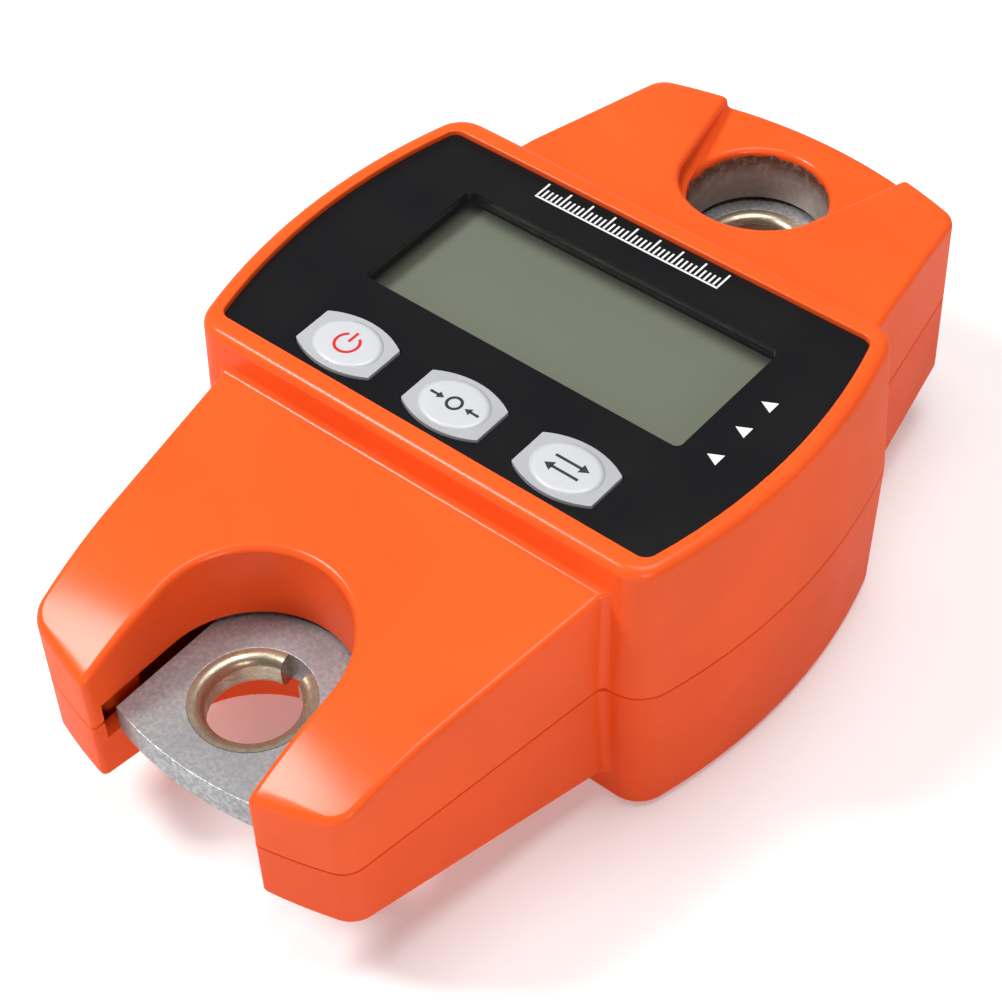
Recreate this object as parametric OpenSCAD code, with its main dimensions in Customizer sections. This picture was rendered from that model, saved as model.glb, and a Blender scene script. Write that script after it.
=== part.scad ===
/* [Housing] */
// Width across the bulging sides at the parting line
body_width = 86.6; // [74:0.2:102]
// Length of the box part between the two arms at the parting line
body_length = 57.92; // [50:0.01:68]
// Height from the back to the top of the rim
body_height = 47.7; // [40:0.1:56]
// Height of the parting line between the two shells
parting_height = 24.3; // [20:0.1:29]
// Plan radius of the upright corners at the parting line
corner_radius = 6; // [4.8:0.1:7.5]
// How far each wall leans in between the parting line and the face
wall_lean = 0.9; // [0.2:0.1:1.6]
// Radius on the outer edges of the faces
edge_round = 1.6; // [0.8:0.1:2.2]
// Thickness of the cast walls
shell_wall = 2.4; // [1.8:0.1:3.2]

/* [Load end arm] */
// From the end of the box to the tip curve of the load end
load_length = 47.24; // [42:0.01:60]
// Half width of the arm where it leaves the box
load_root_half = 32.7; // [29:0.1:36]
// Half width of the arm near its tip, 43 mm out from the box
load_tip_half = 26.8; // [24:0.1:30]
// Height of the upper face where the arm leaves the box
load_top_root = 42.1; // [36:0.1:45]
// Fall of the upper face in degrees, before it turns down
load_top_slope = 5.8; // [3:0.1:8]
// Distance from the end of the box where the upper face turns down
load_bend_out = 25.04; // [20:0.01:32]
// Radius with which the upper face turns down
load_bend_radius = 60; // [45:1:80]
// Height of the under face where the arm leaves the box
load_under_root = 6; // [4:0.1:10]
// Rise of the under face in degrees
load_under_slope = 10; // [6:0.2:12]
// Plan radius of the tips of the prongs
prong_corner = 4; // [2:0.1:6]
// Radius of the open notch around the lower eye
notch_radius = 14; // [13.4:0.1:16.5]

/* [Hanging end arm] */
// From the end of the box to the tip curve of the hanging end
hang_length = 37.04; // [35:0.01:48]
// Half width of the arm where it leaves the box
hang_root_half = 32.8; // [29:0.1:36]
// Half width of the arm near its tip, 33 mm out from the box
hang_tip_half = 26.6; // [24:0.1:30]
// Height of the upper face where the arm leaves the box
hang_top_root = 41; // [37:0.1:44]
// Level stretch of the faces next to the box
hang_flat = 7; // [4:0.5:12]
// Fall of the faces towards the tip in degrees
hang_slope = 5.2; // [3:0.1:7]
// Height of the floor of the open recess
recess_floor = 36.7; // [34:0.1:38]
// Radius of the closed end of the recess
recess_radius = 11.5; // [11:0.1:13]
// Spread of the recess sides in degrees
recess_spread = 15; // [5:0.5:18]
// Radius of the round hole above the upper eye
hang_hole_radius = 10.5; // [9.5:0.1:10.9]
// Radius of the curves across both arm tips
tip_radius = 75; // [60:1:100]

/* [Load plate] */
// Distance from the end of the box to the lower eye
lower_eye_out = 30.64; // [28:0.01:38]
// Distance from the end of the box to the upper eye
upper_eye_out = 20.64; // [18:0.01:26]
// Width of the steel plate
plate_width = 26; // [24:0.2:27]
// Thickness of the steel plate
plate_thickness = 5; // [4:0.1:6]
// Radius of the bore in each plate eye
eye_bore_radius = 8.5; // [7.6:0.1:9.2]
// Free radius inside each liner ring
liner_throat_radius = 6.3; // [5.2:0.1:7]
// Steel left beyond each eye centre
eye_margin = 13.3; // [12:0.1:14]
// Plan radius of the curved plate ends
plate_end_radius = 55; // [20:1:90]
// Straight part of the bore inside each liner ring
liner_land = 1.8; // [1:0.1:3]
// Gap in the liner rings in degrees
liner_gap = 32; // [10:1:50]

/* [Face] */
// Half height of the black face sheet
panel_half_height = 24.5; // [22:0.1:25]
// Half width of the black face sheet at its middle
panel_half_width = 39.6; // [35:0.1:40.4]
// Plan radius of the corners of the face sheet
panel_corner = 1.8; // [0.8:0.1:3]
// Thickness of the face sheet
panel_thickness = 1; // [0.8:0.1:1.4]
// Height of the rim above the face sheet
rim_step = 0.7; // [0.3:0.1:1.2]
// Thickness of the deck under the face sheet
deck_thickness = 2; // [1.6:0.1:2.6]
// Width of the display window
window_width = 53.7; // [48:0.1:56]
// Height of the display window
window_height = 22.4; // [20:0.1:24]
// Distance of the window centre above the middle of the box
window_offset = 4.7; // [3.8:0.1:5.4]

/* [Keys] */
// Distance between neighbouring keys
key_pitch = 18.7; // [17:0.1:20]
// Distance of the key row below the middle of the box
key_row = 18.3; // [17.6:0.1:18.6]
// Half width of a key
key_half_width = 6.5; // [5:0.1:7]
// Half height of a key at its straight ends
key_half_end = 3.2; // [2.2:0.1:3.6]
// Half height of a key at its middle
key_half_middle = 5; // [4.2:0.1:5.2]
// How far a key stands above the face sheet
key_proud = 0.35; // [0.1:0.05:0.6]
// How far a key can be pressed
key_travel = 0.5; // [0.3:0.05:0.6]

/* [Electronics] */
// Width of the circuit board
board_width = 60; // [58:0.5:61]
// Height of the underside of the circuit board
board_level = 35.6; // [34:0.1:36]
// Thickness of the circuit board
board_thickness = 1.6; // [1:0.1:2]

/* [Battery] */
// Diameter of one cell
cell_diameter = 10.4; // [9.5:0.1:10.5]
// Length of one cell body without its nub
cell_length = 43.3; // [42:0.1:44]
// Distance between neighbouring cells
cell_pitch = 11.2; // [10.8:0.1:11.6]

/* [Fasteners] */
// Shank diameter of the shell screws
shell_screw_diameter = 3; // [2.5:0.1:3.5]
// Head diameter of the shell screws
shell_screw_head = 5.4; // [4.8:0.1:6]
// Shank diameter of the load plate bolts
plate_bolt_diameter = 5; // [4:0.1:6]
// Head diameter of the load plate bolts
plate_bolt_head = 8; // [7:0.1:8.4]

/* [Clearances] */
// Gap around the plate inside its slot, above and below
slot_gap = 0.8; // [0.5:0.1:1.2]
// Gap around each key in the face sheet and the deck
key_gap = 0.15; // [0.1:0.01:0.3]
// Gap around glued sheets in their pockets
sheet_gap = 0.1; // [0.05:0.01:0.2]
// Gap between moulded pieces inside
fit_gap = 0.2; // [0.1:0.05:0.4]

/* [Hidden] */
$fn = 64;
far = 300;
// An arc that runs into a straight is larger by this, so that the two cross cleanly
cross = 0.006;
half_l = body_length / 2;
load_reach = half_l + load_length;
load_bend = half_l + load_bend_out;
hang_reach = half_l + hang_length;
load_tip = load_reach - tip_radius + sqrt(tip_radius * tip_radius - notch_radius * notch_radius);
shift = (load_tip - hang_reach) / 2;
half_w = body_width / 2;
post_y = half_l - corner_radius;
// Seen from its own centre a side wall turns through an angle of sine 0.28 and cosine 0.96
// to reach its corner, so that the corner joins it on round numbers
side_radius = corner_radius + post_y / 0.28;
arc_back = side_radius - half_w;
post_x = 0.96 * (side_radius - corner_radius) - arc_back;
plate_low = parting_height - plate_thickness / 2;
plate_top = parting_height + plate_thickness / 2;
slot_low = plate_low - slot_gap;
slot_top = plate_top + slot_gap;
lower_eye_y = -half_l - lower_eye_out;
upper_eye_y = half_l + upper_eye_out;
panel_top = body_height - rim_step;
deck_top = panel_top - panel_thickness;
deck_low = deck_top - deck_thickness;
load_side_lean = (load_root_half - load_tip_half) / 43.04;
hang_side_lean = (hang_root_half - hang_tip_half) / 33.04;
recess_skin = 2.5;
boss_radius = hang_hole_radius + shell_wall;
panel_side_radius = side_radius - 2.2;
board_top = board_level + board_thickness;
window_x = 0.6;
frame_wall = 1.4;
frame_half_w = window_width / 2 + 2.4;
frame_half_h = window_height / 2 + 2.3;
glass_low = deck_low - fit_gap - 2.2;
light_low = glass_low - 0.2 - 2.2;
key_flange_top = deck_low - 0.3;
key_flange_low = key_flange_top - 1.1;
switch_half = 3;
switch_top = board_top + 3.4;
plunger_radius = 1.6;
shell_screw_spots = [[34.2, 18.6], [-34.2, 18.6], [34.2, -18.6], [-34.2, -18.6],
                     [20.6, -half_l - 37.04], [-20.6, -half_l - 37.04],
                     [22, half_l + 28.54], [-22, half_l + 28.54]];
screw_boss = shell_screw_diameter / 2 + 1.6;
head_boss = shell_screw_head / 2 + 1.2;
head_seat = 15;
screw_tip = parting_height + 9;
plate_bolt_y = half_l + 4.5;
plate_bolt_spots = [[7.4, plate_bolt_y], [-7.4, plate_bolt_y]];
board_high = window_offset + frame_half_h + 4;
board_low = -23.4;
screw_high = window_offset + frame_half_h + 2.2;
screw_low = window_offset - frame_half_h - 2.4;
board_screw_spots = [[27.4, screw_high], [-27.4, screw_high],
                     [28, screw_low], [-28, screw_low]];
door_thickness = 2;
door_lip = 1.8;
tray_half_w = cell_length / 2 + 2.6;
tray_half_l = cell_pitch + cell_diameter / 2 + 0.4;
door_ear = tray_half_w + 8;
door_screw_x = tray_half_w + 4.6;
tray_wall = 1.2;
floor_top = shell_wall + 0.6;
lead_spots = [[21.6, -2.5], [21.6, 2.5]];
tray_top = shell_wall + cell_diameter + 3.2;
cell_level = shell_wall + cell_diameter / 2 + 0.8;

module place() {
    translate([0, shift, 0]) children();
}

module mirror_pair() {
    children();
    mirror([1, 0, 0]) children();
}

module corners() {
    for (sx = [0, 1]) {
        for (sy = [0, 1]) {
            mirror([sx, 0, 0]) mirror([0, sy, 0]) children();
        }
    }
}

// Section of a leaning wall, from the parting line to a face on either side of it
module wall_section(reach, rise, inner) {
    c = [reach - wall_lean - edge_round, rise - edge_round];
    polygon([[inner, 0], [reach, 0], c + [edge_round, 0], c, c + [0, edge_round], [inner, rise]]);
    translate(c) intersection() {
        circle(r = edge_round);
        square(2 * edge_round);
    }
}

module wedge(height) {
    linear_extrude(height = height)
        polygon([[post_x, post_y],
                 [post_x + 38.4, post_y + 11.2],
                 [post_x + 40, post_y + 40],
                 [post_x, post_y + 40]]);
}

// Half of the box on one side of the parting line, standing on z = 0
module box_half(rise) {
    difference() {
        intersection() {
            translate([-arc_back, 0, 0]) rotate_extrude() wall_section(side_radius, rise, 0);
            translate([arc_back, 0, 0]) rotate_extrude() wall_section(side_radius, rise, 0);
            rotate([90, 0, 90]) translate([0, 0, -half_w - 5])
                linear_extrude(height = 2 * half_w + 10) {
                    wall_section(half_l, rise, 0);
                    mirror([1, 0]) wall_section(half_l, rise, 0);
                }
        }
        corners() translate([0, 0, -1]) wedge(rise + 2);
    }
    corners() intersection() {
        translate([post_x, post_y, 0]) rotate_extrude() wall_section(corner_radius, rise, 0);
        wedge(rise);
    }
}

// Plan of the inside of the box
module box_plan(inset) {
    intersection() {
        translate([-arc_back, 0]) circle(r = side_radius - inset);
        translate([arc_back, 0]) circle(r = side_radius - inset);
        square([4 * half_w, 2 * (half_l - inset)], center = true);
    }
}

// Plan of an arm along +Y, from the middle of the box out to its tip curve
module arm_plan(root, lean, reach, corner, inset) {
    side_n = sqrt(1 + lean * lean);
    c_out = tip_radius - inset;
    y_mid = reach - tip_radius;
    r = max(corner - inset, 0.6);
    x_side = root - inset * side_n;
    // corner circle: tangent to the side line and the tip curve
    a = x_side - r * side_n + lean * half_l;
    k = c_out - r;
    qa = 1 + lean * lean;
    qb = -2 * a * lean - 2 * y_mid;
    qc = a * a + y_mid * y_mid - k * k;
    cy = (-qb + sqrt(qb * qb - 4 * qa * qc)) / (2 * qa);
    cx = a - lean * cy;
    ang = atan(lean);
    tip_ang = atan2(cy - y_mid, cx);
    difference() {
        intersection() {
            translate([0, y_mid]) circle(r = c_out);
            polygon([[x_side + lean * half_l, 0], [x_side - lean * (100 - half_l), 100],
                     [-x_side + lean * (100 - half_l), 100], [-x_side - lean * half_l, 0]]);
        }
        for (m = [0, 1]) {
            mirror([m, 0]) difference() {
                polygon([[cx, cy], [cx + 30 * cos(ang), cy + 30 * sin(ang)],
                         [cx + 30, cy + 30],
                         [cx + 30 * cos(tip_ang), cy + 30 * sin(tip_ang)]]);
                translate([cx, cy]) circle(r = r + cross);
            }
        }
    }
}

module load_plan(inset) {
    mirror([0, 1])
        arm_plan(load_root_half, load_side_lean, load_reach, prong_corner, inset);
}

module hang_plan(inset) {
    arm_plan(hang_root_half, hang_side_lean, hang_reach, prong_corner, inset);
}

// Side view of the load end above the parting line, in (distance out, height)
module load_top_side(drop) {
    zb = load_top_root - (load_bend - half_l) * tan(load_top_slope) - drop;
    z0 = load_top_root + half_l * tan(load_top_slope) - drop;
    intersection() {
        polygon([[0, parting_height], [100, parting_height],
                 [100, z0 - 100 * tan(load_top_slope)], [0, z0]]);
        union() {
            square([load_bend, 60]);
            translate([load_bend - load_bend_radius * sin(load_top_slope),
                       zb - load_bend_radius * cos(load_top_slope)])
                circle(r = load_bend_radius + cross, $fn = 128);
        }
    }
}

module load_under_side(drop) {
    z0 = load_under_root - half_l * tan(load_under_slope) + drop;
    z1 = z0 + 100 * tan(load_under_slope);
    polygon([[0, parting_height], [100, parting_height], [100, z1], [0, z0]]);
}

module hang_side(drop) {
    x0 = half_l + hang_flat;
    z0 = hang_top_root - drop - parting_height;
    polygon([[0, 0], [x0 + 60, 0], [x0 + 60, z0 - 60 * tan(hang_slope)], [x0, z0], [0, z0]]);
}

module along_x(reach_sign) {
    rotate([90, 0, 90]) translate([0, 0, -50]) linear_extrude(height = 100)
        scale_sign(reach_sign) children();
}

module scale_sign(s) {
    if (s > 0) {
        children();
    } else {
        mirror([1, 0]) children();
    }
}

module load_arm_top(inset, drop) {
    intersection() {
        translate([0, 0, parting_height]) linear_extrude(height = 40) load_plan(inset);
        along_x(-1) load_top_side(drop);
    }
}

module load_arm_under(inset, drop) {
    intersection() {
        translate([0, 0, -5]) linear_extrude(height = parting_height + 5) load_plan(inset);
        along_x(-1) load_under_side(drop);
    }
}

module hang_arm(inset, drop) {
    intersection() {
        linear_extrude(height = 40) hang_plan(inset);
        along_x(1) hang_side(drop);
    }
}

module notch_plan(grow) {
    translate([0, lower_eye_y]) circle(r = notch_radius + grow);
    translate([-notch_radius - grow, lower_eye_y - 40]) square([2 * (notch_radius + grow), 40]);
}

module recess_plan(grow) {
    r = recess_radius + grow;
    translate([0, upper_eye_y]) circle(r = r);
    x0 = (r - cross) * cos(recess_spread);
    y0 = upper_eye_y - (r - cross) * sin(recess_spread);
    polygon([[-x0, y0], [x0, y0], [x0 + 40 * tan(recess_spread), y0 + 40],
             [-x0 - 40 * tan(recess_spread), y0 + 40]]);
}

module panel_plan(grow) {
    back = panel_side_radius - panel_half_width;
    py = panel_half_height - panel_corner;
    px = sqrt(pow(panel_side_radius - panel_corner, 2) - py * py) - back;
    a = asin(py / (panel_side_radius - panel_corner));
    difference() {
        intersection() {
            translate([-back, 0]) circle(r = panel_side_radius + grow);
            translate([back, 0]) circle(r = panel_side_radius + grow);
            square([200, 2 * (panel_half_height + grow)], center = true);
        }
        for (sx = [0, 1]) {
            for (sy = [0, 1]) {
                mirror([sx, 0]) mirror([0, sy]) difference() {
                    polygon([[px, py], [px + 20 * cos(a), py + 20 * sin(a)],
                             [px + 20, py + 20], [px, py + 20]]);
                    translate([px, py]) circle(r = panel_corner + grow + cross);
                }
            }
        }
    }
}

module key_plan(grow) {
    bulge = key_half_middle - key_half_end;
    r = (key_half_width * key_half_width + bulge * bulge) / (2 * bulge);
    intersection() {
        square([2 * (key_half_width + grow), 30], center = true);
        translate([0, key_half_middle - r]) circle(r = r + grow);
        translate([0, r - key_half_middle]) circle(r = r + grow);
    }
}

module rounded_rect(w, h, r) {
    square([w - 2 * r, h], center = true);
    square([w, h - 2 * r], center = true);
    for (sx = [-1, 1]) {
        for (sy = [-1, 1]) {
            translate([sx * (w / 2 - r), sy * (h / 2 - r)]) circle(r = r);
        }
    }
}

module window_plan(grow) {
    translate([window_x, window_offset])
        rounded_rect(window_width + 2 * grow, window_height + 2 * grow, 1 + grow);
}

module at_keys() {
    for (k = [-1, 0, 1]) {
        translate([k * key_pitch, -key_row, 0]) children();
    }
}

module at_spots(spots) {
    for (p = spots) {
        translate([p[0], p[1], 0]) children();
    }
}

// Room for the load plate through walls and bosses
module plate_slot() {
    translate([-plate_width / 2 - 1, -load_reach, slot_low])
        cube([plate_width + 2, load_reach + hang_reach - shell_wall - 1, slot_top - slot_low]);
    translate([-notch_radius - shell_wall - 1, -load_reach + shell_wall + 1, slot_low])
        cube([2 * (notch_radius + shell_wall + 1), 34, slot_top - slot_low]);
}

module front_shell() color([0.93, 0.36, 0.13]) place() difference() {
    union() {
        difference() {
            union() {
                translate([0, 0, parting_height]) box_half(body_height - parting_height);
                load_arm_top(0, 0);
                translate([0, 0, parting_height]) hang_arm(0, 0);
            }
            // inside of the box
            translate([0, 0, parting_height - 1])
                linear_extrude(height = deck_low - parting_height + 1)
                    box_plan(shell_wall + wall_lean);
            // inside of the load end
            difference() {
                translate([0, 0, -0.01]) intersection() {
                    load_arm_top(shell_wall, shell_wall);
                    translate([-50, -100, 0]) cube([100, 100 - half_l + shell_wall, 60]);
                }
                translate([0, 0, parting_height - 1]) linear_extrude(height = 40)
                    notch_plan(shell_wall);
            }
            // inside of the hanging end
            intersection() {
                translate([0, 0, parting_height - 1])
                    linear_extrude(height = recess_floor - recess_skin - parting_height + 1)
                        hang_plan(shell_wall);
                translate([-50, half_l - shell_wall, 0]) cube([100, 100, 60]);
            }
        }
        // tube around the round hole
        translate([0, upper_eye_y, slot_top])
            cylinder(r = boss_radius, h = recess_floor - slot_top - 1);
        // screw bosses down to the parting line
        intersection() {
            at_spots(shell_screw_spots) translate([0, 0, parting_height])
                cylinder(r = screw_boss, h = deck_low - parting_height + 0.5);
            union() {
                translate([0, 0, parting_height])
                    linear_extrude(height = deck_low - parting_height + 0.5) box_plan(1.2);
                load_arm_top(1, 1);
                translate([0, 0, parting_height]) hang_arm(1, 1);
            }
        }
        // board bosses under the deck
        at_spots(board_screw_spots) translate([0, 0, board_top])
            cylinder(r = 2.1, h = deck_low - board_top + 0.5);
    }
    // face sheet pocket and openings
    translate([0, 0, deck_top]) linear_extrude(height = 10) panel_plan(sheet_gap);
    translate([0, 0, deck_low - 1]) linear_extrude(height = 10) window_plan(0.4);
    at_keys() translate([0, 0, deck_low - 1]) linear_extrude(height = 10) key_plan(key_gap);
    // notch, recess and hole
    translate([0, 0, parting_height - 1]) linear_extrude(height = 40) notch_plan(0);
    translate([0, 0, recess_floor]) linear_extrude(height = 20) recess_plan(0);
    translate([0, upper_eye_y, 0]) cylinder(r = hang_hole_radius, h = 60);
    plate_slot();
    // screw holes
    at_spots(shell_screw_spots)
        cylinder(r = shell_screw_diameter / 2, h = screw_tip + 0.5);
    at_spots(board_screw_spots) translate([0, 0, board_top - 1])
        cylinder(r = 1, h = 6);
}

module back_shell() color([0.88, 0.30, 0.11]) place() difference() {
    union() {
        difference() {
            union() {
                translate([0, 0, parting_height]) mirror([0, 0, 1]) box_half(parting_height);
                load_arm_under(0, 0);
                translate([0, 0, parting_height]) mirror([0, 0, 1]) hang_arm(0, 0);
            }
            translate([0, 0, floor_top]) linear_extrude(height = 40)
                box_plan(shell_wall + wall_lean);
            difference() {
                translate([0, 0, 0.01]) intersection() {
                    load_arm_under(shell_wall, shell_wall);
                    translate([-50, -100, 0]) cube([100, 100 - half_l + shell_wall, 60]);
                }
                linear_extrude(height = 40) notch_plan(shell_wall);
            }
            intersection() {
                translate([0, 0, 2 * parting_height - recess_floor + recess_skin])
                    linear_extrude(height = 30) hang_plan(shell_wall);
                translate([-50, half_l - shell_wall, 0]) cube([100, 100, 60]);
            }
        }
        translate([0, upper_eye_y, 2 * parting_height - recess_floor + 1])
            cylinder(r = boss_radius, h = recess_floor - parting_height - 1 - slot_gap
                     - plate_thickness / 2);
        // bosses for the shell screws, and seats for the plate
        intersection() {
            union() {
                at_spots(shell_screw_spots) cylinder(r = head_boss, h = parting_height);
                at_spots(plate_bolt_spots) cylinder(r = 5.4, h = plate_low);
                for (s = [-1, 1]) {
                    translate([s * door_screw_x, 0, 1]) cylinder(r = 2.8, h = 6.6);
                }
            }
            union() {
                translate([0, 0, 1]) linear_extrude(height = parting_height - 1) box_plan(1.2);
                load_arm_under(1, 1);
                translate([0, 0, parting_height]) mirror([0, 0, 1]) hang_arm(1, 1);
            }
        }
    }
    translate([0, 0, -1]) linear_extrude(height = 40) notch_plan(0);
    translate([0, 0, 2 * parting_height - recess_floor - 20]) linear_extrude(height = 20)
        recess_plan(0);
    translate([0, upper_eye_y, -1]) cylinder(r = hang_hole_radius, h = 60);
    plate_slot();
    // screws
    at_spots(shell_screw_spots) translate([0, 0, -1])
        cylinder(r = shell_screw_diameter / 2 + 0.2, h = 60);
    at_spots(shell_screw_spots) translate([0, 0, -1])
        cylinder(r = shell_screw_head / 2 + 0.2, h = head_seat + 1);
    at_spots(plate_bolt_spots) translate([0, 0, plate_low - 10])
        cylinder(r = plate_bolt_diameter / 2, h = 20);
    // battery opening with a lip for the door
    translate([0, 0, -1]) linear_extrude(height = 10)
        rounded_rect(2 * tray_half_w, 2 * tray_half_l, 2);
    translate([0, 0, -1]) linear_extrude(height = 1 + door_thickness + 0.2) door_plan(fit_gap);
    for (s = [-1, 1]) {
        translate([s * door_screw_x, 0, -1]) cylinder(r = 1.2, h = 8);
    }
}

module door_plan(grow) {
    rounded_rect(2 * (tray_half_w + door_lip + grow), 2 * (tray_half_l + door_lip + grow), 2.8);
    rounded_rect(2 * (door_ear + grow), 2 * (5 + grow), 3);
}

module overlay_panel() color([0.1, 0.1, 0.1]) place() difference() {
    translate([0, 0, deck_top]) linear_extrude(height = panel_thickness) panel_plan(0);
    translate([0, 0, deck_top - 1]) linear_extrude(height = 5) window_plan(0);
    at_keys() translate([0, 0, deck_top - 1]) linear_extrude(height = 5) key_plan(key_gap);
}

module display_window() color([0.8, 0.85, 0.85, 0.4]) place()
    translate([0, 0, deck_top]) linear_extrude(height = panel_thickness - 0.05)
        window_plan(-0.05);

module key_cap() color([0.75, 0.76, 0.78]) {
    translate([0, 0, key_flange_top - 0.2])
        linear_extrude(height = panel_top + key_proud - key_flange_top + 0.2) key_plan(0);
    translate([0, 0, key_flange_low])
        linear_extrude(height = key_flange_top - key_flange_low) key_plan(0.8);
}

module plunger() color([0.12, 0.12, 0.12])
    translate([0, 0, switch_top - 1.5])
        cylinder(r = plunger_radius, h = key_flange_low - switch_top + 1.5);

module key_power() place() translate([-key_pitch, -key_row, 0]) key_cap();
module key_tare() place() translate([0, -key_row, 0]) key_cap();
module key_unit() place() translate([key_pitch, -key_row, 0]) key_cap();
module plunger_power() place() translate([-key_pitch, -key_row, 0]) plunger();
module plunger_tare() place() translate([0, -key_row, 0]) plunger();
module plunger_unit() place() translate([key_pitch, -key_row, 0]) plunger();

module switch_cases() color([0.2, 0.2, 0.22]) place() at_keys() difference() {
    translate([-switch_half, -switch_half, board_top])
        cube([2 * switch_half, 2 * switch_half, switch_top - board_top]);
    translate([0, 0, switch_top - 2.4]) cylinder(r = plunger_radius + 0.1, h = 5);
}

module lcd_frame() color([0.15, 0.15, 0.16]) place() translate([window_x, window_offset, 0])
    difference() {
        translate([0, 0, board_top]) linear_extrude(height = deck_low - board_top)
            square([2 * frame_half_w, 2 * frame_half_h], center = true);
        translate([0, 0, board_top - 1]) linear_extrude(height = 20)
            square([2 * (frame_half_w - frame_wall), 2 * (frame_half_h - frame_wall)],
                   center = true);
    }

module lcd_glass() color([0.52, 0.54, 0.46]) place() translate([window_x, window_offset, 0])
    translate([-frame_half_w + frame_wall + fit_gap, -frame_half_h + frame_wall + fit_gap,
               glass_low])
        cube([2 * (frame_half_w - frame_wall - fit_gap),
              2 * (frame_half_h - frame_wall - fit_gap), 2.2]);

module backlight() color([0.9, 0.92, 0.88]) place() translate([window_x, window_offset, 0])
    translate([-frame_half_w + frame_wall + fit_gap, -frame_half_h + frame_wall + 2.6, light_low])
        cube([2 * (frame_half_w - frame_wall - fit_gap),
              2 * (frame_half_h - frame_wall - 2.6), 2.2]);

module zebra_strips() color([0.3, 0.3, 0.32]) place() translate([window_x, window_offset, 0])
    for (s = [-1, 1]) {
        translate([-window_width / 2 + 1, s * (frame_half_h - frame_wall - 1.4) - 0.9, board_top])
            cube([window_width - 2, 1.8, glass_low - board_top]);
    }

module main_board() color([0.1, 0.4, 0.2]) place() difference() {
    translate([-board_width / 2, board_low, board_level])
        cube([board_width, board_high - board_low, board_thickness]);
    at_spots(board_screw_spots) translate([0, 0, board_level - 1]) cylinder(r = 1.2, h = 4);
}

module board_screws() color([0.7, 0.7, 0.72]) place() at_spots(board_screw_spots) {
    translate([0, 0, board_level - 1.3]) cylinder(r = 1.9, h = 1.3);
    translate([0, 0, board_level - 0.5]) cylinder(r = 1, h = board_thickness + 4);
}

module converter_chip() color([0.08, 0.08, 0.09]) place()
    translate([-6, -6, board_level - 2.1]) cube([12, 12, 2.1]);

module buzzer() color([0.1, 0.1, 0.1]) place() translate([-19, 8, board_level - 4.2])
    difference() {
        cylinder(r = 5.5, h = 4.2);
        translate([0, 0, -1]) cylinder(r = 1, h = 2.5);
    }

module lead_socket() color([0.9, 0.9, 0.86]) place() translate([19, -6, board_level - 4.6])
    difference() {
        cube([8, 12, 4.6]);
        translate([1, 1, -1]) cube([6, 10, 3.4]);
    }

module plate_end(eye_y) {
    // half of the plate, from the middle of the box to the curved end beyond an eye
    s = eye_y < 0 ? -1 : 1;
    intersection() {
        translate([-plate_width / 2, s < 0 ? eye_y - 40 : 0])
            square([plate_width, abs(eye_y) + 40]);
        translate([0, eye_y + s * (eye_margin - plate_end_radius)]) circle(r = plate_end_radius);
    }
    translate([-plate_width / 2, s < 0 ? eye_y : 0]) square([plate_width, abs(eye_y)]);
}

module load_plate_plan() {
    difference() {
        union() {
            plate_end(lower_eye_y);
            plate_end(upper_eye_y);
        }
        translate([0, lower_eye_y]) circle(r = eye_bore_radius);
        translate([0, upper_eye_y]) circle(r = eye_bore_radius);
        at_plan_bolts() circle(r = plate_bolt_diameter / 2 + 0.15);
        // spring element: two holes joined by a slot
        circle(r = 4.5);
        translate([0, -11]) circle(r = 4.5);
        translate([-1.4, -11]) square([2.8, 11]);
    }
}

module at_plan_bolts() {
    for (p = plate_bolt_spots) {
        translate([p[0], p[1]]) children();
    }
}

module load_plate() color([0.62, 0.63, 0.65]) place()
    translate([0, 0, plate_low]) linear_extrude(height = plate_thickness) load_plate_plan();

module liner(gap_at) {
    h = plate_thickness / 2;
    e = (plate_thickness - liner_land) / 2;
    rotate([0, 0, gap_at + liner_gap / 2]) rotate_extrude(angle = 360 - liner_gap) {
        translate([liner_throat_radius, -liner_land / 2])
            square([eye_bore_radius - liner_throat_radius, liner_land]);
        intersection() {
            translate([liner_throat_radius, -h])
                square([eye_bore_radius - liner_throat_radius, 2 * h]);
            union() {
                translate([liner_throat_radius + e, liner_land / 2]) circle(r = e);
                translate([liner_throat_radius + e, -liner_land / 2]) circle(r = e);
                translate([liner_throat_radius + e, -h]) square([10, 2 * h]);
            }
        }
    }
}

module lower_eye_liner() color([0.7, 0.58, 0.35]) place()
    translate([0, lower_eye_y, parting_height]) liner(84);

module upper_eye_liner() color([0.7, 0.58, 0.35]) place()
    translate([0, upper_eye_y, parting_height]) liner(30);

module strain_gauges() color([0.75, 0.55, 0.2]) place()
    for (s = [-1, 1]) {
        for (y = [-14, 0]) {
            translate([s * 8.6 - 1.8, y - 1.5, plate_top]) cube([3.6, 5, 0.2]);
        }
    }

module gauge_leads() color([0.8, 0.2, 0.2]) place()
    for (s = [-1, 1]) {
        for (y = [-13, 1]) {
            translate([s * 8.6, y + 1.2, plate_top + 0.2])
                cylinder(r = 0.45, h = board_level - plate_top - 0.2);
        }
    }

module plate_bolts() color([0.5, 0.5, 0.52]) place() at_spots(plate_bolt_spots) difference() {
    union() {
        translate([0, 0, plate_low - 9])
            cylinder(r = plate_bolt_diameter / 2, h = 9 + plate_thickness + 1.2);
        translate([0, 0, plate_top + 1]) cylinder(r = plate_bolt_head / 2, h = 4);
    }
    translate([0, 0, plate_top + 2.6]) cylinder(r = 2.3, h = 5, $fn = 6);
}

module plate_washers() color([0.7, 0.7, 0.72]) place() at_spots(plate_bolt_spots) difference() {
    translate([0, 0, plate_top]) cylinder(r = plate_bolt_head / 2 + 0.4, h = 1);
    translate([0, 0, plate_top - 1]) cylinder(r = plate_bolt_diameter / 2 + 0.1, h = 4);
}

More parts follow.
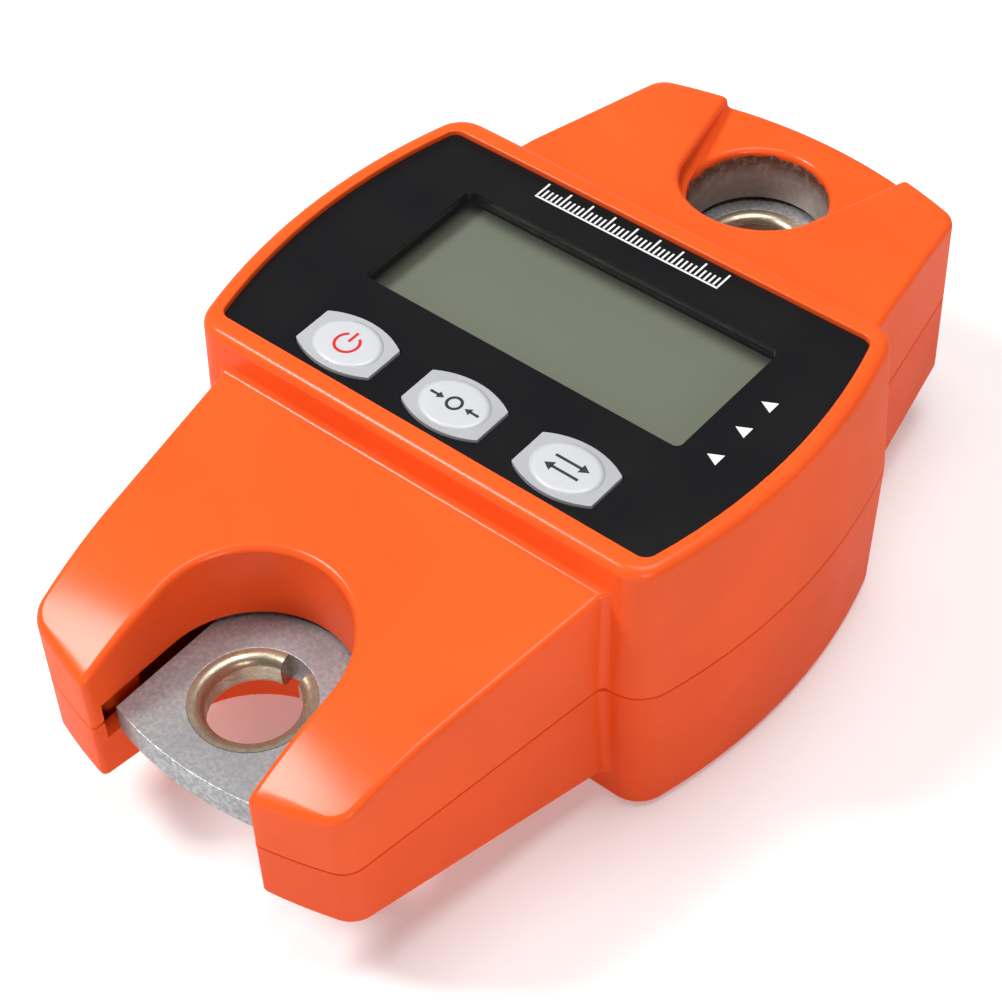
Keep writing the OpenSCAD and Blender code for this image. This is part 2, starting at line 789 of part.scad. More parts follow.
module shell_screws() color([0.45, 0.45, 0.47]) place() at_spots(shell_screw_spots) difference() {
    union() {
        translate([0, 0, head_seat - 2.4]) cylinder(r = shell_screw_head / 2, h = 2.4);
        translate([0, 0, head_seat - 1])
            cylinder(r = shell_screw_diameter / 2, h = screw_tip - head_seat + 1);
    }
    translate([-1.8, -0.4, head_seat - 3]) cube([3.6, 0.8, 1.8]);
    translate([-0.4, -1.8, head_seat - 3]) cube([0.8, 3.6, 1.8]);
}

module battery_tray() color([0.16, 0.16, 0.17]) place() difference() {
    translate([-tray_half_w - tray_wall, -tray_half_l - tray_wall, floor_top])
        cube([2 * (tray_half_w + tray_wall), 2 * (tray_half_l + tray_wall),
              tray_top - floor_top]);
    translate([-tray_half_w, -tray_half_l, shell_wall - 1])
        cube([2 * tray_half_w, 2 * tray_half_l, tray_top - shell_wall + 1 - tray_wall]);
    at_spots(lead_spots) translate([0, 0, tray_top - 3]) cylinder(r = 0.7, h = 5);
}

module at_cells() {
    for (k = [-1, 0, 1]) {
        translate([0, k * cell_pitch, cell_level]) mirror([k == 0 ? 1 : 0, 0, 0]) children();
    }
}

module battery_cells() color([0.2, 0.3, 0.5]) place() at_cells()
    translate([tray_half_w - 0.5, 0, 0]) rotate([0, -90, 0]) {
        cylinder(r = 1.9, h = 1.5);
        translate([0, 0, 1]) cylinder(r = cell_diameter / 2, h = cell_length);
    }

module contact_springs() color([0.75, 0.75, 0.77]) place() at_cells()
    translate([-tray_half_w + 0.5, 0, 0]) rotate([0, 90, 0])
        for (j = [0, 1, 2]) {
            translate([0, 0, 0.45 + j * 1.1]) rotate_extrude()
                translate([3.8 - j * 0.7, 0]) circle(r = 0.4, $fn = 24);
        }

module contact_plates() color([0.75, 0.75, 0.77]) place()
    for (s = [-1, 1]) {
        translate([s * (tray_half_w - 0.25) - 0.25, -tray_half_l + 1, cell_level - 4.2])
            cube([0.5, 2 * tray_half_l - 2, 8.4]);
    }

module battery_leads() color([0.7, 0.1, 0.1]) place()
    at_spots(lead_spots) translate([0, 0, tray_top - tray_wall])
        cylinder(r = 0.7, h = board_level - 2.2 - tray_top + tray_wall);

module battery_door() color([0.14, 0.14, 0.15]) place() difference() {
    translate([0, 0, 0.2]) linear_extrude(height = door_thickness - 0.2) door_plan(0);
    for (s = [-1, 1]) {
        translate([s * door_screw_x, 0, -1]) cylinder(r = 1.4, h = 9);
        translate([s * door_screw_x, 0, -1]) cylinder(r = 2.3, h = 1.9);
    }
    for (i = [-3, -2, -1, 0, 1, 2, 3]) {
        translate([-7, i * 2.2 - 0.5 - 6, -1]) cube([14, 1, 1.5]);
    }
}

module door_screws() color([0.6, 0.6, 0.62]) place()
    for (s = [-1, 1]) {
        translate([s * door_screw_x, 0, 0]) difference() {
            union() {
                translate([0, 0, 0.3]) cylinder(r = 2, h = 0.6);
                translate([0, 0, 0.5]) cylinder(r = 1.2, h = 5);
            }
            translate([-1.4, -0.3, 0]) cube([2.8, 0.6, 0.7]);
        }
    }

front_shell();
back_shell();
overlay_panel();
display_window();
key_power();
key_tare();
key_unit();
plunger_power();
plunger_tare();
plunger_unit();
switch_cases();
lcd_frame();
lcd_glass();
backlight();
zebra_strips();
main_board();
board_screws();
converter_chip();
buzzer();
lead_socket();
load_plate();
lower_eye_liner();
upper_eye_liner();
strain_gauges();
gauge_leads();
plate_bolts();
plate_washers();
shell_screws();
battery_tray();
battery_cells();
contact_springs();
contact_plates();
battery_leads();
battery_door();
door_screws();
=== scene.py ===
import math
import bpy
import bmesh
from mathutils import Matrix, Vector


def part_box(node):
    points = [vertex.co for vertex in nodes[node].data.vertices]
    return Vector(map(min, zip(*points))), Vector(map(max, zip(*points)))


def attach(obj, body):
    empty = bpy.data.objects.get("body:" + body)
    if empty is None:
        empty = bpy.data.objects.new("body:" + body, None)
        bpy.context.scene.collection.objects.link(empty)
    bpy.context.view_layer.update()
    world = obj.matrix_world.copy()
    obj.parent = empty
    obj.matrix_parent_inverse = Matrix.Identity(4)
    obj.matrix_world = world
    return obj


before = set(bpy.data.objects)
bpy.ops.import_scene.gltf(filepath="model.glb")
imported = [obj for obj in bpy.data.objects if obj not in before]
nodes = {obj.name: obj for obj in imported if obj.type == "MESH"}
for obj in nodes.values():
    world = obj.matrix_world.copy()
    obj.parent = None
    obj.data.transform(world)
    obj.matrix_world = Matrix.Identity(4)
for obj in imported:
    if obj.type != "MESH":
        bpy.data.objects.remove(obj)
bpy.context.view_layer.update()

mm = 0.001
print("frame loaded:", len(nodes), "nodes")


# where things are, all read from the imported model
def middleOf(node):
    low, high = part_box(node)
    return (low + high) / 2


def topOf(node):
    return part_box(node)[1].z


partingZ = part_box("front_shell")[0].z
rimZ = topOf("front_shell")
panelZ = topOf("overlay_panel")
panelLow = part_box("overlay_panel")[0]
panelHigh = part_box("overlay_panel")[1]
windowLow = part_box("display_window")[0]
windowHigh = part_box("display_window")[1]
windowMiddle = (windowLow + windowHigh) / 2
windowHalf = (windowHigh - windowLow) / 2
hangEye = middleOf("upper_eye_liner")


# small helpers for node trees
def addNode(tree, kind, inputs=None, **settings):
    node = tree.nodes.new(kind)
    for key, value in settings.items():
        setattr(node, key, value)
    for key, value in (inputs or {}).items():
        if isinstance(value, bpy.types.NodeSocket):
            tree.links.new(value, node.inputs[key])
        else:
            node.inputs[key].default_value = value
    return node


def compute(tree, operation, *values):
    return addNode(tree, "ShaderNodeMath", dict(enumerate(values)), operation=operation).outputs[0]


def rampBetween(tree, value, low, high, outLow=0.0, outHigh=1.0):
    limits = {"Value": value, "From Min": low, "From Max": high,
              "To Min": outLow, "To Max": outHigh}
    node = addNode(tree, "ShaderNodeMapRange", limits, interpolation_type="SMOOTHSTEP")
    return node.outputs["Result"]


def mixColour(tree, share, first, second):
    node = tree.nodes.new("ShaderNodeMix")
    node.data_type = "RGBA"
    for key, value in ((0, share), (6, first), (7, second)):
        if isinstance(value, bpy.types.NodeSocket):
            tree.links.new(value, node.inputs[key])
        else:
            node.inputs[key].default_value = value if key == 0 else (*value[:3], 1)
    return node.outputs[2]


def noiseOf(tree, place, scale, detail=3.0, roughness=0.5, distortion=0.0):
    return addNode(tree, "ShaderNodeTexNoise",
                   {"Vector": place, "Scale": scale, "Detail": detail, "Roughness": roughness,
                    "Distortion": distortion}).outputs["Fac"]


def bumpFrom(tree, height, strength, depth):
    return addNode(tree, "ShaderNodeBump", {"Height": height, "Strength": strength,
                                            "Distance": depth}).outputs["Normal"]


def startMaterial(name):
    material = bpy.data.materials.new(name)
    material.use_nodes = True
    tree = material.node_tree
    tree.nodes.clear()
    shader = tree.nodes.new("ShaderNodeBsdfPrincipled")
    output = tree.nodes.new("ShaderNodeOutputMaterial")
    tree.links.new(shader.outputs[0], output.inputs["Surface"])
    place = tree.nodes.new("ShaderNodeTexCoord").outputs["Object"]
    return material, tree, shader, place


# the finishes, from the sprayed shells to the parts inside
enamelPaint = dict(
    front=(0.87, 0.099, 0.017), back=(0.85, 0.088, 0.014),
    patchSize=42, deep=0.91,   # thicker patches are a little darker
    lacquer=0.07, lacquerIor=2.6, lacquerRoughness=0.2,   # thin hard shine over the colour
    peelSize=520, peelDepth=0.02 * mm,   # orange peel of the sprayed coat
    dustSize=2600, dustDark=0.55, smearSize=160, roughness=(0.42, 0.5),
    bareSteel=(0.40, 0.34, 0.31), bareBrown=(0.19, 0.085, 0.05), bareShine=(0.56, 0.50, 0.46),
    bareReach=11.2 * mm, bareTop=35.6 * mm, brownDepth=4.2 * mm, bareMetallic=0.5,
    chipSize=420, chipReach=3.2 * mm, scratchSize=900,
    # painted shade around the display window: black for the edge of the window opening
    black=(0.012, 0.012, 0.013), blackMargin=0.9 * mm, blackAbove=8 * mm,
)


def makeEnamel(name, colour):
    p = enamelPaint
    material, tree, shader, place = startMaterial(name)
    patches = noiseOf(tree, place, p["patchSize"], 2)
    paint = mixColour(tree, rampBetween(tree, patches, 0.35, 0.7), colour,
                      [c * p["deep"] for c in colour])
    dust = noiseOf(tree, place, p["dustSize"], 1)
    paint = mixColour(tree, rampBetween(tree, dust, 0.74, 0.8, 0, 0.25), paint,
                      [c * p["dustDark"] for c in colour])
    # the wall of the hanging hole is bare: ragged where the paint ends, and browned near it
    parts = addNode(tree, "ShaderNodeSeparateXYZ", {"Vector": place}).outputs
    dx = compute(tree, "SUBTRACT", parts["X"], hangEye.x)
    dy = compute(tree, "SUBTRACT", parts["Y"], hangEye.y)
    away = compute(tree, "SQRT", compute(tree, "ADD", compute(tree, "MULTIPLY", dx, dx),
                                         compute(tree, "MULTIPLY", dy, dy)))
    chips = noiseOf(tree, place, p["chipSize"], 4, 0.65)
    height = compute(tree, "ABSOLUTE", compute(tree, "SUBTRACT", parts["Z"], partingZ))
    chipping = compute(tree, "MULTIPLY", compute(tree, "SUBTRACT", chips, 0.5), p["chipReach"])
    ragged = compute(tree, "ADD", height, chipping)
    bareTop = p["bareTop"] - partingZ
    below = rampBetween(tree, ragged, bareTop - 0.25 * mm, bareTop, 1, 0)
    within = rampBetween(tree, away, p["bareReach"], p["bareReach"] + 0.1 * mm, 1, 0)
    bare = compute(tree, "MULTIPLY", below, within)
    browned = rampBetween(tree, ragged, bareTop - p["brownDepth"], bareTop - 0.6 * mm)
    bareColour = mixColour(tree, browned, p["bareSteel"], p["bareBrown"])
    scratches = noiseOf(tree, place, p["scratchSize"], 5, 0.7)
    bareColour = mixColour(tree, rampBetween(tree, scratches, 0.45, 0.7, 0, 0.5), bareColour,
                           p["bareShine"])
    # painted shade: the edge of the window opening is blacked out, standing in for the shade around
    # the display
    fromMiddle = [compute(tree, "ABSOLUTE", compute(tree, "SUBTRACT", parts[axis], middle))
                  for axis, middle in (("X", windowMiddle.x), ("Y", windowMiddle.y))]
    acrossX = compute(tree, "LESS_THAN", fromMiddle[0], windowHalf.x + p["blackMargin"])
    acrossY = compute(tree, "LESS_THAN", fromMiddle[1], windowHalf.y + p["blackMargin"])
    above = compute(tree, "GREATER_THAN", parts["Z"], partingZ + p["blackAbove"])
    paintedWindowShade = compute(tree, "MULTIPLY", compute(tree, "MULTIPLY", acrossX, acrossY), above)
    paint = mixColour(tree, paintedWindowShade, paint, p["black"])
    tree.links.new(mixColour(tree, bare, paint, bareColour), shader.inputs["Base Color"])
    tree.links.new(compute(tree, "MULTIPLY", bare, p["bareMetallic"]), shader.inputs["Metallic"])
    smear = noiseOf(tree, place, p["smearSize"], 3)
    tree.links.new(rampBetween(tree, smear, 0.3, 0.75, *p["roughness"]), shader.inputs["Roughness"])
    peel = noiseOf(tree, place, p["peelSize"], 2, 0.45)
    tree.links.new(bumpFrom(tree, peel, 0.35, p["peelDepth"]), shader.inputs["Normal"])
    shader.inputs["Specular IOR Level"].default_value = 0.02
    shader.inputs["Coat Weight"].default_value = p["lacquer"]
    shader.inputs["Coat IOR"].default_value = p["lacquerIor"]
    shader.inputs["Coat Roughness"].default_value = p["lacquerRoughness"]
    return material


moulding = dict(grainSize=1800, speckSize=5200, cloudSize=95)


def makeMoulding(name, colour, roughness, grainDepth=0.02 * mm, spread=0.18, coat=0.0, mottle=0.12,
                 grain=None, shine=0.5):
    material, tree, shader, place = startMaterial(name)
    cloud = noiseOf(tree, place, moulding["cloudSize"], 3)
    fine = noiseOf(tree, place, grain or moulding["grainSize"], 2, 0.55)
    base = mixColour(tree, rampBetween(tree, cloud, 0.3, 0.72), colour,
                     [c * (1 - mottle) for c in colour])
    specks = noiseOf(tree, place, moulding["speckSize"], 1)
    base = mixColour(tree, rampBetween(tree, specks, 0.7, 0.8, 0, 0.3), base,
                     [min(1, c * 1.35 + 0.004) for c in colour])
    tree.links.new(base, shader.inputs["Base Color"])
    tree.links.new(rampBetween(tree, cloud, 0.25, 0.8, roughness - spread / 2,
                               roughness + spread / 2), shader.inputs["Roughness"])
    tree.links.new(bumpFrom(tree, fine, 0.4, grainDepth), shader.inputs["Normal"])
    shader.inputs["Specular IOR Level"].default_value = shine
    shader.inputs["Coat Weight"].default_value = coat
    shader.inputs["Coat Roughness"].default_value = 0.08
    return material


cellShade = dict(
    # axis, place of the window's side, which way is in, how far the shade reaches
    sides=(("Y", windowHigh.y, 1, 2.6 * mm), ("X", windowLow.x, -1, 3.0 * mm),
           ("X", windowHigh.x, 1, 1.6 * mm)),
    under=0.8 * mm, darkest=0.25,
)


def makeCell(name, colour):
    # the grey cell behind the window lies deep, so its border stays in shade
    material, tree, shader, place = startMaterial(name)
    parts = addNode(tree, "ShaderNodeSeparateXYZ", {"Vector": place}).outputs
    shade = None
    for axis, side, sign, reach in cellShade["sides"]:
        inside = compute(tree, "MULTIPLY", compute(tree, "SUBTRACT", side, parts[axis]), sign)
        part = rampBetween(tree, inside, -cellShade["under"], reach, cellShade["darkest"], 1.0)
        shade = part if shade is None else compute(tree, "MULTIPLY", shade, part)
    cloud = noiseOf(tree, place, 60, 2)
    base = mixColour(tree, cloud, colour, [c * 0.96 for c in colour])
    tree.links.new(mixColour(tree, shade, [c * 0.2 for c in colour], base),
                   shader.inputs["Base Color"])
    shader.inputs["Roughness"].default_value = 0.34
    shader.inputs["Specular IOR Level"].default_value = 0.3
    return material


def makeMetal(name, colour, roughness, grain=1400, streak=(1, 1, 1), spots=0.3, depth=0.012 * mm,
              dark=0.62, metallic=1.0):
    material, tree, shader, place = startMaterial(name)
    stretched = addNode(tree, "ShaderNodeMapping", {"Vector": place, "Scale": streak}).outputs[0]
    grit = noiseOf(tree, stretched, grain, 4, 0.7)
    stain = noiseOf(tree, place, 120, 4, 0.6, 0.4)
    base = mixColour(tree, rampBetween(tree, grit, 0.38, 0.66), [c * dark for c in colour], colour)
    base = mixColour(tree, rampBetween(tree, stain, 0.42, 0.75, 0, spots), base,
                     [c * 0.6 for c in colour])
    tree.links.new(base, shader.inputs["Base Color"])
    tree.links.new(rampBetween(tree, grit, 0.3, 0.7, roughness + 0.1, roughness - 0.06),
                   shader.inputs["Roughness"])
    tree.links.new(bumpFrom(tree, grit, 0.5, depth), shader.inputs["Normal"])
    shader.inputs["Metallic"].default_value = metallic
    return material


def makeGlass(name):
    material = bpy.data.materials.new(name)
    material.use_nodes = True
    tree = material.node_tree
    tree.nodes.clear()
    place = tree.nodes.new("ShaderNodeTexCoord").outputs["Object"]
    haze = noiseOf(tree, place, 130, 3)
    clear = addNode(tree, "ShaderNodeBsdfTransparent", {"Color": (0.97, 0.98, 0.97, 1)})
    shine = addNode(tree, "ShaderNodeBsdfGlossy",
                    {"Roughness": rampBetween(tree, haze, 0.3, 0.8, 0.06, 0.16)})
    mixed = addNode(tree, "ShaderNodeMixShader", {0: 0.05, 1: clear.outputs[0],
                                                  2: shine.outputs[0]})
    output = tree.nodes.new("ShaderNodeOutputMaterial")
    tree.links.new(mixed.outputs[0], output.inputs["Surface"])
    return material


def makeInk(name, colour, roughness=0.45):
    return makeMoulding(name, colour, roughness, grainDepth=0.006 * mm, spread=0.12, mottle=0.07)


finishes = {
    "enamelFront": makeEnamel("enamelFront", enamelPaint["front"]),
    "enamelBack": makeEnamel("enamelBack", enamelPaint["back"]),
    "faceSheet": makeMoulding("faceSheet", (0.0055, 0.0055, 0.0065), 0.36, 0.008 * mm, 0.1,
                              grain=2600, shine=0.2),
    "keySilver": makeMoulding("keySilver", (0.39, 0.395, 0.41), 0.36, 0.01 * mm, 0.12, 0.1),
    "keyWhite": makeMoulding("keyWhite", (0.50, 0.51, 0.525), 0.38, 0.006 * mm, 0.1, 0.1, 0.05),
    "cell": makeCell("cell", (0.175, 0.18, 0.14)),
    "frameBlack": makeMoulding("frameBlack", (0.012, 0.012, 0.012), 0.6),
    "doorBlack": makeMoulding("doorBlack", (0.016, 0.016, 0.017), 0.55, 0.05 * mm, grain=1500),
    "windowClear": makeGlass("windowClear"),
    "plateZinc": makeMetal("plateZinc", (0.41, 0.42, 0.43), 0.42, 1500, (1, 1, 1), 0.35,
                           dark=0.6, metallic=0.62),
    "linerBrass": makeMetal("linerBrass", (0.47, 0.40, 0.29), 0.30, 1100, (1, 1, 3), 0.3,
                            0.008 * mm, 0.76, 0.8),
    "screwSteel": makeMetal("screwSteel", (0.52, 0.52, 0.53), 0.3, 2200),
    "boltSteel": makeMetal("boltSteel", (0.10, 0.10, 0.105), 0.36, 2200),
    "nickel": makeMetal("nickel", (0.62, 0.60, 0.56), 0.28, 2400),
    "boardGreen": makeMoulding("boardGreen", (0.01, 0.09, 0.035), 0.35, coat=0.3),
    "chipBlack": makeMoulding("chipBlack", (0.02, 0.02, 0.021), 0.6),
    "socketWhite": makeMoulding("socketWhite", (0.7, 0.69, 0.62), 0.45),
    "guide": makeMoulding("guide", (0.72, 0.74, 0.68), 0.3),
    "zebra": makeMoulding("zebra", (0.05, 0.05, 0.055), 0.7),
    "foil": makeMoulding("foil", (0.5, 0.26, 0.05), 0.4),
    "leadRed": makeMoulding("leadRed", (0.4, 0.01, 0.01), 0.4),
    "cellWrap": makeMoulding("cellWrap", (0.03, 0.06, 0.16), 0.3, coat=0.4),
    "inkWhite": makeInk("inkWhite", (0.74, 0.75, 0.76)),
    "inkRed": makeInk("inkRed", (0.55, 0.012, 0.02)),
    "inkDark": makeInk("inkDark", (0.02, 0.02, 0.022)),
}

wornBy = {
    "front_shell": "enamelFront", "back_shell": "enamelBack", "overlay_panel": "faceSheet",
    "display_window": "windowClear", "key_power": "keySilver", "key_tare": "keySilver",
    "key_unit": "keySilver", "plunger_power": "chipBlack", "plunger_tare": "chipBlack",
    "plunger_unit": "chipBlack", "switch_cases": "chipBlack", "lcd_frame": "frameBlack",
    "lcd_glass": "cell", "backlight": "guide", "zebra_strips": "zebra",
    "main_board": "boardGreen", "board_screws": "screwSteel", "converter_chip": "chipBlack",
    "buzzer": "chipBlack", "lead_socket": "socketWhite", "load_plate": "plateZinc",
    "lower_eye_liner": "linerBrass", "upper_eye_liner": "linerBrass", "strain_gauges": "foil",
    "gauge_leads": "leadRed", "plate_bolts": "boltSteel", "plate_washers": "screwSteel",
    "shell_screws": "boltSteel", "battery_tray": "frameBlack", "battery_cells": "cellWrap",
    "contact_springs": "nickel", "contact_plates": "nickel", "battery_leads": "leadRed",
    "battery_door": "doorBlack", "door_screws": "screwSteel",
}
for nodeName, finish in wornBy.items():
    for slot in nodes[nodeName].material_slots:
        slot.material = finishes[finish]
print("finishes:", len(finishes))


# softened edges on the solids that come from the frame
def newGeometryTree(name):
    tree = bpy.data.node_groups.new(name, "GeometryNodeTree")
    tree.interface.new_socket("Geometry", in_out="INPUT", socket_type="NodeSocketGeometry")
    tree.interface.new_socket("Geometry", in_out="OUTPUT", socket_type="NodeSocketGeometry")
    return tree, tree.nodes.new("NodeGroupInput"), tree.nodes.new("NodeGroupOutput")


edgeCare = dict(
    shell=1.0 * mm, parting=0.34, rim=0.3,   # the last two are shares of the shell's width
    other=0.15 * mm, creaseFrom=34, smoothUpTo=32, lookOut=0.25, lift=0.06 * mm,
    joinWithin=0.0005 * mm, levelWeight=80,
    slotClear=1.2 * mm, panelClear=1.2 * mm, footClear=2.2 * mm,
)


def markEdges(name, bands):
    # weighs each outside crease for the bevel by its height; bands are (from z, to z, weight)
    tree, start, end = newGeometryTree(name)
    clean = addNode(tree, "GeometryNodeRemoveAttribute", {"Geometry": start.outputs[0],
                                                          "Name": "custom_normal"})
    angle = tree.nodes.new("GeometryNodeInputMeshEdgeAngle").outputs["Unsigned Angle"]
    place = tree.nodes.new("GeometryNodeInputPosition").outputs[0]
    outward = tree.nodes.new("GeometryNodeInputNormal").outputs[0]
    lift = addNode(tree, "ShaderNodeVectorMath", {0: outward}, operation="SCALE")
    lift.inputs["Scale"].default_value = edgeCare["lift"]
    raised = addNode(tree, "ShaderNodeVectorMath", {0: place, 1: lift.outputs[0]}).outputs[0]
    ray = addNode(tree, "GeometryNodeRaycast",
                  {"Target Geometry": clean.outputs[0], "Source Position": raised,
                   "Ray Direction": outward, "Ray Length": edgeCare["lookOut"]})
    free = compute(tree, "SUBTRACT", 1.0, ray.outputs["Is Hit"])
    crease = compute(tree, "GREATER_THAN", angle, math.radians(edgeCare["creaseFrom"]))
    z = addNode(tree, "ShaderNodeSeparateXYZ", {"Vector": place}).outputs["Z"]
    total = None
    for low, high, weight in bands:
        inside = compute(tree, "MULTIPLY", compute(tree, "GREATER_THAN", z, low),
                         compute(tree, "LESS_THAN", z, high))
        part = compute(tree, "MULTIPLY", inside, weight)
        total = part if total is None else compute(tree, "ADD", total, part)
    weight = compute(tree, "MULTIPLY", compute(tree, "MULTIPLY", free, crease), total)
    store = addNode(tree, "GeometryNodeStoreNamedAttribute",
                    {"Geometry": clean.outputs[0], "Name": "bevel_weight_edge"},
                    data_type="FLOAT", domain="EDGE")
    tree.links.new(weight, store.inputs["Value"])
    tree.links.new(store.outputs[0], end.inputs[0])
    return tree


def smoothGroup(name, limit):
    tree, start, end = newGeometryTree(name)
    clean = addNode(tree, "GeometryNodeRemoveAttribute", {"Geometry": start.outputs[0],
                                                          "Name": "custom_normal"})
    faces = addNode(tree, "GeometryNodeSetShadeSmooth", {"Geometry": clean.outputs[0]},
                    domain="FACE")
    angle = tree.nodes.new("GeometryNodeInputMeshEdgeAngle").outputs["Unsigned Angle"]
    soft = compute(tree, "LESS_THAN", angle, math.radians(limit))
    edges = addNode(tree, "GeometryNodeSetShadeSmooth",
                    {"Geometry": faces.outputs[0]}, domain="EDGE")
    tree.links.new(soft, edges.inputs["Shade Smooth"])
    tree.links.new(edges.outputs[0], end.inputs[0])
    return tree


smoothByAngle = smoothGroup("smoothByAngle", edgeCare["smoothUpTo"])


def softenSolid(node, width, bands=None, segments=3):
    part = nodes[node]
    weld = part.modifiers.new("joinCorners", "WELD")
    weld.merge_threshold = edgeCare["joinWithin"]
    low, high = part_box(node)
    mark = part.modifiers.new("markEdges", "NODES")
    mark.node_group = markEdges("mark_" + node, bands or [(low.z - 1, high.z + 1, 1.0)])
    bevel = part.modifiers.new("softEdges", "BEVEL")
    bevel.width = width
    bevel.segments = segments
    bevel.limit_method = "WEIGHT"
    bevel.use_clamp_overlap = False
    bevel.loop_slide = False
    smooth = part.modifiers.new("smooth", "NODES")
    smooth.node_group = smoothByAngle
    # flat faces stay flat to the light
    level = part.modifiers.new("levelFaces", "WEIGHTED_NORMAL")
    level.keep_sharp = True
    level.weight = edgeCare["levelWeight"]


# the slot that the plate lies in keeps its sharp edges
slotHigh = topOf("load_plate") + edgeCare["slotClear"]
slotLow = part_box("load_plate")[0].z - edgeCare["slotClear"]
frontBands = [(partingZ - 0.1 * mm, partingZ + 0.05 * mm, edgeCare["parting"]),
              (slotHigh, panelLow.z - edgeCare["panelClear"], 1.0),
              (rimZ - 0.2 * mm, rimZ + 0.1 * mm, edgeCare["rim"])]
softenSolid("front_shell", edgeCare["shell"], frontBands)
backBands = [(partingZ - 0.05 * mm, partingZ + 0.1 * mm, edgeCare["parting"]),
             (edgeCare["footClear"], slotLow, 1.0)]
softenSolid("back_shell", edgeCare["shell"], backBands)
for nodeName in ("overlay_panel", "key_power", "key_tare", "key_unit", "load_plate",
                 "battery_door"):
    softenSolid(nodeName, edgeCare["other"], segments=2)
print("edges softened")


# printed marks: thin inlays lying on the part they are printed on
def meshPiece(name, body, finish, build):
    mesh = bpy.data.meshes.new(name)
    shape = bmesh.new()
    build(shape)
    bmesh.ops.recalc_face_normals(shape, faces=shape.faces)
    shape.to_mesh(mesh)
    shape.free()
    mesh.materials.append(finishes[finish])
    piece = bpy.data.objects.new(name, mesh)
    bpy.context.scene.collection.objects.link(piece)
    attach(piece, body)
    return piece


def slab(shape, outline, low, high):
    # a flat plate with the outline given as (x, y) points, counter-clockwise
    lower = [shape.verts.new((x, y, low)) for x, y in outline]
    upper = [shape.verts.new((x, y, high)) for x, y in outline]
    count = len(outline)
    shape.faces.new(upper)
    shape.faces.new(list(reversed(lower)))
    for i in range(count):
        j = (i + 1) % count
        shape.faces.new((lower[i], lower[j], upper[j], upper[i]))


def bar(cx, cy, length, width, turn=0.0):
    c, s = math.cos(turn), math.sin(turn)
    corners = ((-length / 2, -width / 2), (length / 2, -width / 2), (length / 2, width / 2),
               (-length / 2, width / 2))
    return [(cx + c * x - s * y, cy + s * x + c * y) for x, y in corners]


def arcBand(cx, cy, radius, width, fromAngle, toAngle, steps=40):
    angles = [fromAngle + (toAngle - fromAngle) * i / steps for i in range(steps + 1)]
    outer = [(cx + (radius + width / 2) * math.cos(a), cy + (radius + width / 2) * math.sin(a))
             for a in angles]
    inner = [(cx + (radius - width / 2) * math.cos(a), cy + (radius - width / 2) * math.sin(a))
             for a in reversed(angles)]
    return outer + inner


inkDepth = 0.03 * mm    # how far a printed mark stands up
inkSink = 0.02 * mm     # how far it reaches into what it lies on

keyOval = dict(halfLength=5.3 * mm, halfWidth=4.2 * mm, dome=0.16 * mm, foot=0.05 * mm, rings=6,
               points=64)


def buildOval(center, low):
    def build(shape):
        p = keyOval
        rows = []
        for ring in range(p["rings"]):
            share = 1 - ring / p["rings"]
            height = low + p["dome"] * (1 - share ** 4)
            rows.append([shape.verts.new((center.x + p["halfLength"] * share * math.cos(a),
                                          center.y + p["halfWidth"] * share * math.sin(a), height))
                         for a in (2 * math.pi * i / p["points"] for i in range(p["points"]))])
        foot = [shape.verts.new((v.co.x, v.co.y, low - p["foot"])) for v in rows[0]]
        count = p["points"]
        shape.faces.new(list(reversed(foot)))
        for a, b in zip([foot] + rows, rows):
            for i in range(count):
                j = (i + 1) % count
                shape.faces.new((a[i], a[j], b[j], b[i]))
        tip = shape.verts.new((center.x, center.y, low + p["dome"]))
        for i in range(count):
            shape.faces.new((rows[-1][i], rows[-1][(i + 1) % count], tip))
    return build


keyMarks = dict(lift=0.13 * mm, tall=0.06 * mm, ring=1.75 * mm, line=0.42 * mm)


def markPower(cx, cy):
    gap = math.radians(32)
    return [arcBand(cx, cy - 0.1 * mm, keyMarks["ring"], keyMarks["line"], math.pi / 2 + gap,
                    math.pi / 2 - gap + 2 * math.pi),
            bar(cx, cy + 1.2 * mm, 2.0 * mm, keyMarks["line"], math.pi / 2)]


def arrow(x, y, toward, size):
    # an arrow head with a short tail, pointing along +X or -X
    return [[(x, y), (x - toward * size, y + toward * size * 0.6),
             (x - toward * size, y - toward * size * 0.6)],
            bar(x - toward * size * 1.6, y, size * 1.4, keyMarks["line"] * 0.9)]


def markTare(cx, cy):
    # two arrows meeting at a zero
    zero = [arcBand(cx, cy, 1.05 * mm, keyMarks["line"], 0, 2 * math.pi - 0.001)]
    return (zero + arrow(cx - 1.75 * mm, cy, 1, 1.0 * mm)
            + arrow(cx + 1.75 * mm, cy, -1, 1.0 * mm))


def markUnit(cx, cy):
    # two arrows passing each other
    up = [[(cx + 2.9 * mm, cy + 0.95 * mm), (cx + 1.6 * mm, cy + 1.75 * mm),
           (cx + 1.6 * mm, cy + 0.15 * mm)],
          bar(cx - 0.4 * mm, cy + 0.95 * mm, 4.2 * mm, keyMarks["line"])]
    down = [[(2 * cx - x, 2 * cy - y) for x, y in outline] for outline in up]
    return up + down


for key, body, marks, ink in (("key_power", "power_key", markPower, "inkRed"),
                              ("key_tare", "tare_key", markTare, "inkDark"),
                              ("key_unit", "unit_key", markUnit, "inkDark")):
    center = middleOf(key)
    low = topOf(key)
    short = body.split("_")[0]
    oval = meshPiece(short + "KeyPad", body, "keyWhite", buildOval(center, low))
    for polygon in oval.data.polygons:
        polygon.use_smooth = True
    outlines = marks(center.x, center.y)

    def buildMarks(shape, outlines=outlines, low=low):
        for outline in outlines:
            slab(shape, outline, low + keyMarks["lift"] - inkSink,
                 low + keyMarks["lift"] + keyMarks["tall"])
    meshPiece(short + "KeyMark", body, ink, buildMarks)

